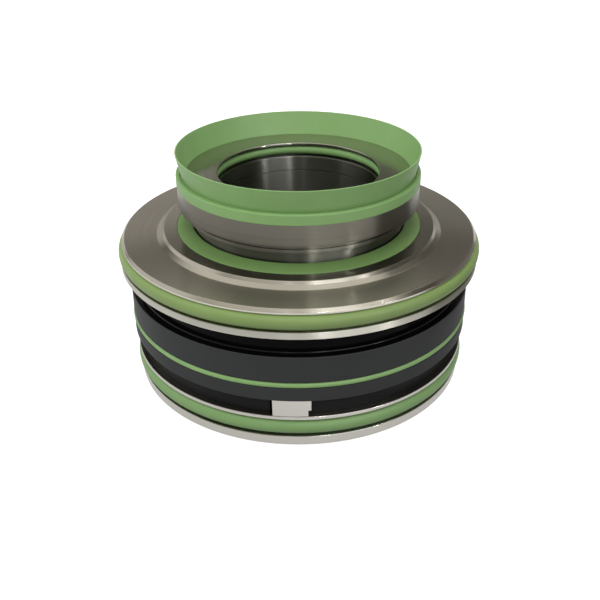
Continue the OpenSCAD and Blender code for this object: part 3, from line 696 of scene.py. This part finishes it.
def hookedBlock(left, stem, head, inner, outer, low, step, high, inset=0.0):
    # an L bent round the axis: the head reaches past the stem, and the stem's face can stand back
    block = bmesh.new()
    corners = {}
    bends = lockingTabs["bends"]
    columns = [left + (stem - left) * i / bends for i in range(bends + 1)] + [head]
    stemLevels = [low, step - inset, step] if inset else [low, step]

    def corner(angle, side, z):
        key = (angle, side, z)
        if key not in corners:
            r = inner if side == "in" else outer - inset * (z < step - inset / 2)
            across = math.radians(angle)
            corners[key] = block.verts.new((r * math.cos(across) * mm, r * math.sin(across) * mm, z * mm))
        return corners[key]

    def strip(first, second, side, levels):
        for lower, upper in zip(levels, levels[1:]):
            block.faces.new([corner(first, side, lower), corner(second, side, lower),
                             corner(second, side, upper), corner(first, side, upper)])

    def endWall(angle, levels):
        for lower, upper in zip(levels, levels[1:]):
            block.faces.new([corner(angle, "in", lower), corner(angle, "out", lower),
                             corner(angle, "out", upper), corner(angle, "in", upper)])

    for first, second in zip(columns, columns[1:]):
        levels = [step, high] if second == head else stemLevels + [high]
        strip(first, second, "out", levels)
        strip(first, second, "in", levels)
        for z in (levels[0], levels[-1]):
            block.faces.new([corner(first, "in", z), corner(second, "in", z),
                             corner(second, "out", z), corner(first, "out", z)])
    endWall(columns[0], stemLevels + [high])
    endWall(columns[-2], stemLevels)
    endWall(columns[-1], [step, high])
    bmesh.ops.recalc_face_normals(block, faces=block.faces)
    return block


def buildRoundPattern():  # copies one item round the axis
    tree, given, result = newTree(
        "roundPattern", "GeometryNodeTree",
        [("Item", "NodeSocketGeometry", None), ("Count", "NodeSocketInt", 6),
         ("First Angle", "NodeSocketFloat", 0.0), ("Surface", "NodeSocketMaterial", None)],
        [("Mesh", "NodeSocketGeometry")])
    points = addNode(tree, "GeometryNodePoints", {"Count": given["Count"]})
    index = addNode(tree, "GeometryNodeInputIndex").outputs[0]
    step = calc(tree, "DIVIDE", 2 * math.pi, given["Count"])
    angle = calc(tree, "MULTIPLY_ADD", index, step, given["First Angle"])
    turn = addNode(tree, "ShaderNodeCombineXYZ", {"Z": angle})
    copies = addNode(tree, "GeometryNodeInstanceOnPoints", {
        "Points": points.outputs[0], "Instance": given["Item"], "Rotation": turn.outputs[0]})
    return endTree(tree, copies, given["Surface"], result)


roundPattern = buildRoundPattern()


def makeCarrierRing():
    size = carrierRing
    lip = span("carrier_ring")[2]
    grooveTop = size["landHeight"] + size["grooveHeight"]
    lipTop = grooveTop + size["lipHeight"]
    piece = turned("carrierRing", [
        (size["bore"], 0, 0.3),
        (size["land"], 0, size["edgeRound"]),
        (size["land"], size["landHeight"], 0.3),
        (size["groove"], size["landHeight"], 0.3),
        (size["groove"], grooveTop, 0.3),
        (lip, grooveTop, 0.25),
        (lip, lipTop, 0.25),
        (size["socket"], lipTop, 0.15),
        (size["socket"], size["floor"], 0.15),
        (size["bore"], size["floor"], 0.3),
    ], "carrierSteel", "root", "carrier_steel", "carrier_ring")
    refinish(piece, "polishedSteel", lambda radius, height: height > lipTop - fineMargin
             and radius < lip - size["lipEdge"])


def makeLockingTabs():
    size = lockingTabs
    tabTop, lip = span("carrier_ring")[1:]
    foot = carrierRing["landHeight"] + carrierRing["grooveHeight"] + carrierRing["lipHeight"] / 2
    half = math.degrees(size["width"] / 2 / lip)
    hook = math.degrees(size["hook"] / lip)
    tab = hookedBlock(-half, half - hook, half, lip - size["depth"], lip - size["faceInset"], foot,
                      tabTop - size["headHeight"], tabTop, size["stemInset"])
    sharp = [e for e in tab.edges
             if len(e.link_faces) == 2 and e.calc_face_angle() > math.radians(size["sharpAngle"])]
    bmesh.ops.bevel(tab, geom=sharp, offset=size["edgeRound"] * mm, segments=size["roundSteps"],
                    profile=0.5, affect="EDGES", clamp_overlap=True)
    mesh = runTree(roundPattern, plainMesh("tab", tab), {
        "Count": size["count"], "First Angle": math.radians(size["firstAngle"]),
        "Surface": finishes["carrierSteel"]})
    mesh.shade_smooth()
    addPiece("lockingTabs", mesh, "root", ["carrier_ring"])


makeCarrierRing()
makeLockingTabs()


# Lower housing: the band, and the skirt with a slot round each locking tab

lowerHousing = {"band": 5.2, "skirt": 61.9, "skirtTop": 19.7, "skirtBottom": 12.8, "middleGroove": 63.2,
                "spigot": 48.0, "bore": 44.3, "lip": 41.2, "lipHigh": 17.9, "lipLow": 16.7, "shroud": 48.0,
                "socket": 56.9, "spigotHeight": 2.0, "slotGap": 0.3, "tabClearance": 0.1, "knifeReach": 1.0,
                "smoothAngle": 40, "skirtShadeDepth": 6.0, "bandEdge": 0.4}


def makeLowerHousing():
    size = lowerHousing
    low, top, band = span("lower_housing")
    grooveHigh = top - size["spigotHeight"]
    bandTop = size["skirtTop"] + size["band"]
    mesh = turnedMesh([
        (size["shroud"], low),
        (size["socket"], low),
        (size["socket"], size["skirtBottom"]),
        (size["skirt"], size["skirtBottom"], 0.15),
        (size["skirt"], size["skirtTop"], 0.5),
        (band, size["skirtTop"], 0.5),
        (band, bandTop, 0.3),
        (size["middleGroove"], bandTop, 0.2),
        (size["middleGroove"], grooveHigh),
        (size["spigot"], grooveHigh),
        (size["spigot"], top, 0.15),
        (size["bore"], top, 0.15),
        (size["bore"], size["lipHigh"]),
        (size["lip"], size["lipHigh"]),
        (size["lip"], size["lipLow"]),
        (size["shroud"], size["lipLow"]),
    ], "blackHousing")
    outwards(mesh)
    housing = addObject("uncutHousing", mesh)
    lip = span("carrier_ring")[2]
    half = math.degrees(lockingTabs["width"] / 2 / lip)
    hook = math.degrees(lockingTabs["hook"] / lip)
    gap = math.degrees(size["slotGap"] / size["skirt"])
    headLow = size["skirtTop"] - size["tabClearance"] - lockingTabs["headHeight"] - size["slotGap"]
    slot = hookedBlock(-half - hook - gap, half - hook + gap, half + gap,
                       lip - lockingTabs["depth"] - size["slotGap"], size["skirt"] + size["knifeReach"],
                       size["skirtBottom"] - size["knifeReach"], headLow, size["skirtTop"] - fineMargin)
    slots = runTree(roundPattern, plainMesh("slot", slot), {
        "Count": lockingTabs["count"], "First Angle": math.radians(lockingTabs["firstAngle"]),
        "Surface": finishes["blackHousing"]})
    knife = addObject("slotKnife", slots)
    cut = housing.modifiers.new("slots", "BOOLEAN")
    cut.operation = "DIFFERENCE"
    cut.solver = "EXACT"
    cut.object = knife
    evaluated = housing.evaluated_get(bpy.context.evaluated_depsgraph_get())
    finished = bpy.data.meshes.new_from_object(evaluated)
    bpy.data.objects.remove(housing)
    bpy.data.objects.remove(knife)
    finished.shade_smooth()
    finished.set_sharp_from_angle(angle=math.radians(size["smoothAngle"]))
    piece = addPiece("lowerHousing", finished, "root", ["lower_housing"])
    # painted shade: the skirt below the band gets a much darker black, where the band's shade falls
    refinish(piece, "skirtPaintedShade",
             lambda radius, height: size["skirt"] - size["skirtShadeDepth"] < radius < band - size["bandEdge"]
             and height < size["skirtTop"] + wideMargin)


makeLowerHousing()
print("Standing side made")


# Cap screws and springs, copied round the axis

capScrews = {"count": 6, "circle": 52.5, "shank": 3.0, "head": 5.5, "headHeight": 3.0, "socket": 2.5,
             "socketDepth": 1.8, "socketEdge": 0.01, "plainShank": 5.0, "pitch": 0.5, "threadDepth": 0.25,
             "chamfer": 0.3, "sides": 24}
springs = {"count": 6, "circle": 40.1, "outer": 5.6, "wire": 0.9, "turns": 5.0, "endPitch": 1.0,
           "travel": 1.5, "stepsPerTurn": 24, "wireSides": 12}


def lathedItem(radii, sides):  # a small closed body on its own axis, from (radius, height) pairs
    body = bmesh.new()
    rings = []
    for r, z in radii:
        rings.append([body.verts.new((r * math.cos(2 * math.pi * i / sides) * mm,
                                      r * math.sin(2 * math.pi * i / sides) * mm, z * mm))
                      for i in range(sides)])
    for lower, upper in zip(rings, rings[1:]):
        for i in range(sides):
            body.faces.new((lower[i], lower[(i + 1) % sides], upper[(i + 1) % sides], upper[i]))
    body.faces.new(rings[0][::-1])
    body.faces.new(rings[-1])
    return body


def makeCapScrews(name, node, firstAngle):
    size = capScrews
    low, high = span(node)[:2]
    headTop = low + size["headHeight"]
    head, shank, chamfer = size["head"] / 2, size["shank"] / 2, size["chamfer"]
    outline = [(head - chamfer, low), (head, low + chamfer), (head, headTop), (shank, headTop)]
    height = headTop + size["plainShank"]
    while height < high - chamfer - size["pitch"]:
        outline += [(shank, height), (shank - size["threadDepth"], height + size["pitch"] / 2)]
        height += size["pitch"]
    outline += [(shank, height), (shank - chamfer, high)]
    screw = lathedItem(outline, size["sides"])
    cap = min(screw.faces, key=lambda f: f.calc_center_median().z)
    bmesh.ops.inset_individual(screw, faces=[cap], thickness=size["socketEdge"] * mm)
    for vert in cap.verts:   # the inset ring becomes the hexagon
        angle = math.atan2(vert.co.y, vert.co.x)
        side = (angle % (math.pi / 3)) - math.pi / 6
        reach = size["socket"] / 2 / math.cos(side) * mm
        vert.co.x, vert.co.y = reach * math.cos(angle), reach * math.sin(angle)
    sunk = bmesh.ops.extrude_face_region(screw, geom=[cap])
    bmesh.ops.delete(screw, geom=[cap], context="FACES_ONLY")
    for vert in (g for g in sunk["geom"] if isinstance(g, bmesh.types.BMVert)):
        vert.co.z += size["socketDepth"] * mm
    bmesh.ops.translate(screw, verts=screw.verts, vec=(size["circle"] * mm, 0, 0))
    bmesh.ops.recalc_face_normals(screw, faces=screw.faces)
    mesh = runTree(roundPattern, plainMesh("screw", screw), {
        "Count": size["count"], "First Angle": math.radians(firstAngle),
        "Surface": finishes["fastenerSteel"]})
    addPiece(name, mesh, "root", [node], weighted=False)


makeCapScrews("flangeScrews", "flange_screws", 0)
makeCapScrews("housingScrews", "housing_screws", 180 / capScrews["count"])


def buildCoilTree():  # a spring with closed ends: slow turns at both ends, even ones between
    tree, given, result = newTree(
        "coilSpring", "GeometryNodeTree",
        [("Geometry", "NodeSocketGeometry", None), ("Turns", "NodeSocketFloat", 5.0),
         ("Coil Radius", "NodeSocketFloat", 0.002), ("Wire", "NodeSocketFloat", 0.0009),
         ("Length", "NodeSocketFloat", 0.008), ("End Pitch", "NodeSocketFloat", 0.001),
         ("Surface", "NodeSocketMaterial", None)],
        [("Mesh", "NodeSocketGeometry")])
    coil = addNode(tree, "GeometryNodeCurveSpiral", {
        "Resolution": springs["stepsPerTurn"], "Rotations": given["Turns"], "Height": 0.0,
        "Start Radius": given["Coil Radius"], "End Radius": given["Coil Radius"]})
    along = addNode(tree, "GeometryNodeSplineParameter").outputs[0]
    turn = calc(tree, "MULTIPLY", along, given["Turns"])
    lastTurn = calc(tree, "SUBTRACT", given["Turns"], 1.0)
    middleRise = calc(tree, "SUBTRACT", calc(tree, "SUBTRACT", given["Length"], given["Wire"]),
                      calc(tree, "MULTIPLY", given["End Pitch"], 2.0))
    first = addNode(tree, "ShaderNodeMapRange", {0: turn, 1: 0.0, 2: 1.0, 3: 0.0, 4: given["End Pitch"]})
    middle = addNode(tree, "ShaderNodeMapRange", {0: turn, 1: 1.0, 2: lastTurn, 3: 0.0, 4: middleRise})
    last = addNode(tree, "ShaderNodeMapRange", {0: turn, 1: lastTurn, 2: given["Turns"], 3: 0.0,
                                                4: given["End Pitch"]})
    height = calc(tree, "ADD", calc(tree, "ADD", first.outputs[0], middle.outputs[0]), last.outputs[0])
    wireRadius = calc(tree, "MULTIPLY", given["Wire"], 0.5)
    lift = addNode(tree, "ShaderNodeCombineXYZ", {"Z": calc(tree, "ADD", height, wireRadius)})
    raised = addNode(tree, "GeometryNodeSetPosition", {"Geometry": coil.outputs[0],
                                                       "Offset": lift.outputs[0]})
    section = addNode(tree, "GeometryNodeCurvePrimitiveCircle", {"Resolution": springs["wireSides"],
                                                                 "Radius": wireRadius})
    wire = addNode(tree, "GeometryNodeCurveToMesh", {"Curve": raised.outputs[0], "Fill Caps": True,
                                                     "Profile Curve": section.outputs["Curve"]})
    return endTree(tree, shadedSmooth(tree, wire), given["Surface"], result)


coilTree = buildCoilTree()


def makeSprings(name, node):
    size = springs
    low, high = span(node)[:2]
    coil = runTree(coilTree, bpy.data.meshes.new("start"), {
        "Turns": size["turns"], "Coil Radius": (size["outer"] - size["wire"]) / 2 * mm,
        "Wire": size["wire"] * mm, "Length": (high - low) * mm, "End Pitch": size["endPitch"] * mm,
        "Surface": finishes["springSteel"]})
    coil.transform(Matrix.Translation((size["circle"] * mm, 0, low * mm)))
    mesh = runTree(roundPattern, coil, {"Count": size["count"], "First Angle": 0.0,
                                        "Surface": finishes["springSteel"]})
    piece = addPiece(name, mesh, "root", [node], weighted=False)
    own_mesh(piece)


makeSprings("upperSprings", "upper_springs")
makeSprings("lowerSprings", "lower_springs")
print("Screws and springs made")


# CAD pieces that keep their own mesh: inner pins, plates and standing rings

innerFinishes = {
    "upper_drive_pins": "fastenerSteel", "lower_drive_pins": "fastenerSteel",
    "upper_locating_pins": "fastenerSteel", "lower_locating_pins": "fastenerSteel",
    "upper_spring_plate": "springSteel", "lower_spring_plate": "springSteel",
    "upper_stationary_ring": "hardRing", "lower_stationary_ring": "hardRing",
}
for node, finish in innerFinishes.items():
    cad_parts[node].data.materials.clear()
    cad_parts[node].data.materials.append(finishes[finish])


# Studio: white floor and background, and a soft surround that only mirror-like surfaces see

studio = {
    "floorSize": 6.0,             # metres
    "floorGlow": 0.82, "floorInMirrors": 0.46, "floorTint": (0.34, 0.34, 0.336),
    "shadowFadeInner": 0.054, "shadowFadeOuter": 0.064,   # metres, where the floor's glow fades out under the object: painted shadow
    "surroundRadius": 0.9, "cardGap": 0.05,     # metres
    "surroundSteps": (48, 24), "cardSteps": (8, 8), "surroundUp": (-4, 90),
    "worldStrength": 0.62, "lampAim": (0, 0, 0.04),
}
surroundBands = [                 # elevation in degrees, colour and strength
    (-4, (0.80, 0.79, 0.76)), (9, (0.70, 0.69, 0.66)), (15, (0.10, 0.095, 0.085)),
    (38, (0.13, 0.122, 0.105)), (50, (0.80, 0.77, 0.70)), (90, (0.95, 0.92, 0.86)),
]
cards = {                         # azimuth and elevation ranges as seen from the object, 0 is the front
    "window": {"across": (9, 45), "up": (38, 72), "colour": (1.0, 0.985, 0.95), "strength": 1.3},
    "lowWindow": {"across": (12, 45), "up": (17, 35), "colour": (0.97, 0.99, 1.0), "strength": 3.0},
    "windowPost": {"across": (12.0, 14.0), "up": (15, 32), "colour": (1.0, 0.99, 0.97), "strength": 29.0,
                   "nearer": 0.04},
    "windowEdge": {"across": (50.5, 52.5), "up": (15, 32), "colour": (1.0, 0.99, 0.97), "strength": 42.0,
                   "nearer": 0.04},
    "leftStrip": {"across": (-10.5, -5.5), "up": (14, 48), "colour": (0.9, 0.95, 1.0), "strength": 1.4},
    "leftPanel": {"across": (-125, -70), "up": (12, 50), "colour": (1.0, 0.97, 0.93), "strength": 0.75},
    "rightShade": {"across": (78, 132), "up": (10, 56), "colour": (1.0, 0.93, 0.80), "strength": 0.07},
    "backLeft": {"across": (-172, -138), "up": (2, 27), "colour": (1.0, 0.95, 0.88), "strength": 0.5},
    "backRight": {"across": (146, 170), "up": (2, 24), "colour": (0.98, 0.97, 0.92), "strength": 0.42},
}
darkBoard = {"radius": 0.11, "across": (58, 103), "up": (0, 40), "colour": (1.0, 0.97, 0.90),
             "strength": 0.22}    # stands close by, at the right
lamps = {                         # place, size and power of the soft lamps
    "frontLamp": {"at": (-0.2, -0.8, 0.95), "size": 0.8, "power": 8.5, "colour": (1.0, 0.98, 0.95)},
    "sideLamp": {"at": (0.85, -0.35, 0.9), "size": 0.7, "power": 3.5, "colour": (1.0, 0.99, 0.98)},
    "leftLamp": {"at": (-0.95, -0.2, 0.6), "size": 0.7, "power": 5.0, "colour": (0.96, 0.98, 1.0)},
    "topLamp": {"at": (0.0, 0.25, 1.2), "size": 0.9, "power": 7.0, "colour": (1.0, 1.0, 0.99)},
}


def skyPatch(name, radius, across, up, steps, finish):
    patch = bmesh.new()
    rows = []
    for i in range(steps[1] + 1):
        e = math.radians(up[0] + (up[1] - up[0]) * i / steps[1])
        row = []
        for j in range(steps[0] + 1):
            a = math.radians(across[0] + (across[1] - across[0]) * j / steps[0])
            row.append(patch.verts.new((radius * math.cos(e) * math.sin(a),
                                        -radius * math.cos(e) * math.cos(a), radius * math.sin(e))))
        rows.append(row)
    for lower, upper in zip(rows, rows[1:]):
        for j in range(steps[0]):
            patch.faces.new((lower[j], lower[j + 1], upper[j + 1], upper[j]))
    mesh = plainMesh(name, patch)
    mesh.materials.append(finish)
    thing = addObject(name, mesh)
    for rays in ("camera", "diffuse", "shadow", "transmission"):   # only reflections show it
        setattr(thing, "visible_" + rays, False)


def glowing(name, colour, strength):
    material, tree = blank(name)
    light = addNode(tree, "ShaderNodeEmission", {"Color": (*colour, 1.0), "Strength": strength})
    finishMaterial(tree, light)
    return material


def surroundMaterial():
    material, tree = blank("surround")
    place = addNode(tree, "ShaderNodeTexCoord").outputs["Object"]
    direction = addNode(tree, "ShaderNodeVectorMath", {0: place}, operation="NORMALIZE").outputs[0]
    height = addNode(tree, "ShaderNodeSeparateXYZ", {0: direction}).outputs[2]
    elevation = calc(tree, "ARCSINE", height)
    lowest, highest = math.radians(surroundBands[0][0]), math.radians(surroundBands[-1][0])
    share = addNode(tree, "ShaderNodeMapRange", {0: elevation, 1: lowest, 2: highest}).outputs[0]
    ramp = addNode(tree, "ShaderNodeValToRGB", {0: share})
    stops = ramp.color_ramp.elements
    for i, (degrees, colour) in enumerate(surroundBands):
        position = (math.radians(degrees) - lowest) / (highest - lowest)
        stop = stops[i] if i < 2 else stops.new(position)
        stop.position = position
        stop.color = (*colour, 1.0)
    light = addNode(tree, "ShaderNodeEmission", {"Color": ramp.outputs[0], "Strength": 1.0})
    finishMaterial(tree, light)
    return material


def seenDirectly(tree):  # 1 for what the camera sees, straight or in a mirror or glass
    path = addNode(tree, "ShaderNodeLightPath")
    first = calc(tree, "MAXIMUM", path.outputs["Is Camera Ray"], path.outputs["Is Glossy Ray"])
    return calc(tree, "MAXIMUM", first, path.outputs["Is Transmission Ray"])


def makeFloor():
    material, tree = blank("studioFloor")
    place = addNode(tree, "ShaderNodeTexCoord").outputs["Object"]
    parts = addNode(tree, "ShaderNodeSeparateXYZ", {0: place})
    flat = addNode(tree, "ShaderNodeCombineXYZ", {0: parts.outputs[0], 1: parts.outputs[1]})
    reach = addNode(tree, "ShaderNodeVectorMath", {0: flat.outputs[0]}, operation="LENGTH").outputs["Value"]
    # painted shadow: the floor's glow fades out under the object
    outsidePaintedShadow = addNode(tree, "ShaderNodeMapRange", {0: reach, 1: studio["shadowFadeInner"],
                                                     2: studio["shadowFadeOuter"]},
                        interpolation_type="SMOOTHSTEP").outputs[0]
    mirrored = addNode(tree, "ShaderNodeLightPath").outputs["Is Glossy Ray"]
    strength = between(tree, mirrored, studio["floorGlow"], studio["floorInMirrors"])
    glow = calc(tree, "MULTIPLY", calc(tree, "MULTIPLY", seenDirectly(tree), outsidePaintedShadow), strength)
    light = addNode(tree, "ShaderNodeEmission", {"Color": (1, 1, 1, 1), "Strength": glow})
    matt = addNode(tree, "ShaderNodeBsdfDiffuse", {"Color": (*studio["floorTint"], 1.0)})
    both = addNode(tree, "ShaderNodeAddShader", {0: light.outputs[0], 1: matt.outputs[0]})
    finishMaterial(tree, both)
    half = studio["floorSize"] / 2
    mesh = bpy.data.meshes.new("studioFloor")
    mesh.from_pydata([(-half, -half, 0), (half, -half, 0), (half, half, 0), (-half, half, 0)], [],
                     [(0, 1, 2, 3)])
    mesh.materials.append(material)
    addObject("studioFloor", mesh)


def makeWorld():
    world = bpy.data.worlds.new("studioWorld")
    world.use_nodes = True
    tree = world.node_tree
    tree.nodes.clear()
    soft = addNode(tree, "ShaderNodeBackground", {"Color": (1, 1, 1, 1),
                                                  "Strength": studio["worldStrength"]})
    white = addNode(tree, "ShaderNodeBackground", {"Color": (1, 1, 1, 1), "Strength": 1.0})
    mixed = addNode(tree, "ShaderNodeMixShader", {0: seenDirectly(tree), 1: soft.outputs[0],
                                                  2: white.outputs[0]})
    addNode(tree, "ShaderNodeOutputWorld", {0: mixed.outputs[0]})
    bpy.context.scene.world = world


def makeLamps():
    for name, lamp in lamps.items():
        light = bpy.data.lights.new(name, "AREA")
        light.shape = "DISK"
        light.size = lamp["size"]
        light.energy = lamp["power"]
        light.color = lamp["colour"]
        thing = addObject(name, light)
        thing.location = lamp["at"]
        aim = Vector(studio["lampAim"]) - Vector(lamp["at"])
        thing.rotation_euler = aim.to_track_quat("-Z", "Y").to_euler()
        thing.visible_glossy = False


makeFloor()
makeWorld()
makeLamps()
skyPatch("surround", studio["surroundRadius"], (-180, 180), studio["surroundUp"], studio["surroundSteps"],
         surroundMaterial())
for name, card in cards.items():
    distance = studio["surroundRadius"] - studio["cardGap"] - card.get("nearer", 0)
    skyPatch(name, distance, card["across"], card["up"], studio["cardSteps"],
             glowing(name, card["colour"], card["strength"]))
skyPatch("darkBoard", darkBoard["radius"], darkBoard["across"], darkBoard["up"], studio["cardSteps"],
         glowing("darkBoard", darkBoard["colour"], darkBoard["strength"]))
print("Studio made")


# Camera, at the photograph's place

cameraView = {"at": (0.00028, -0.29648, 0.18655), "down": 28.885, "roll": -0.414, "lens": 50.44,
              "sensor": 36.0, "nearest": 0.01}


def makeCamera():
    lens = bpy.data.cameras.new("camera")
    lens.lens = cameraView["lens"]
    lens.sensor_width = cameraView["sensor"]
    lens.clip_start = cameraView["nearest"]
    thing = addObject("camera", lens)
    thing.location = cameraView["at"]
    tilt = Matrix.Rotation(math.radians(90 - cameraView["down"]), 3, "X")
    thing.rotation_euler = (tilt @ Matrix.Rotation(math.radians(cameraView["roll"]), 3, "Z")).to_euler()
    bpy.context.scene.camera = thing


makeCamera()
bpy.context.scene.view_settings.view_transform = "Standard"
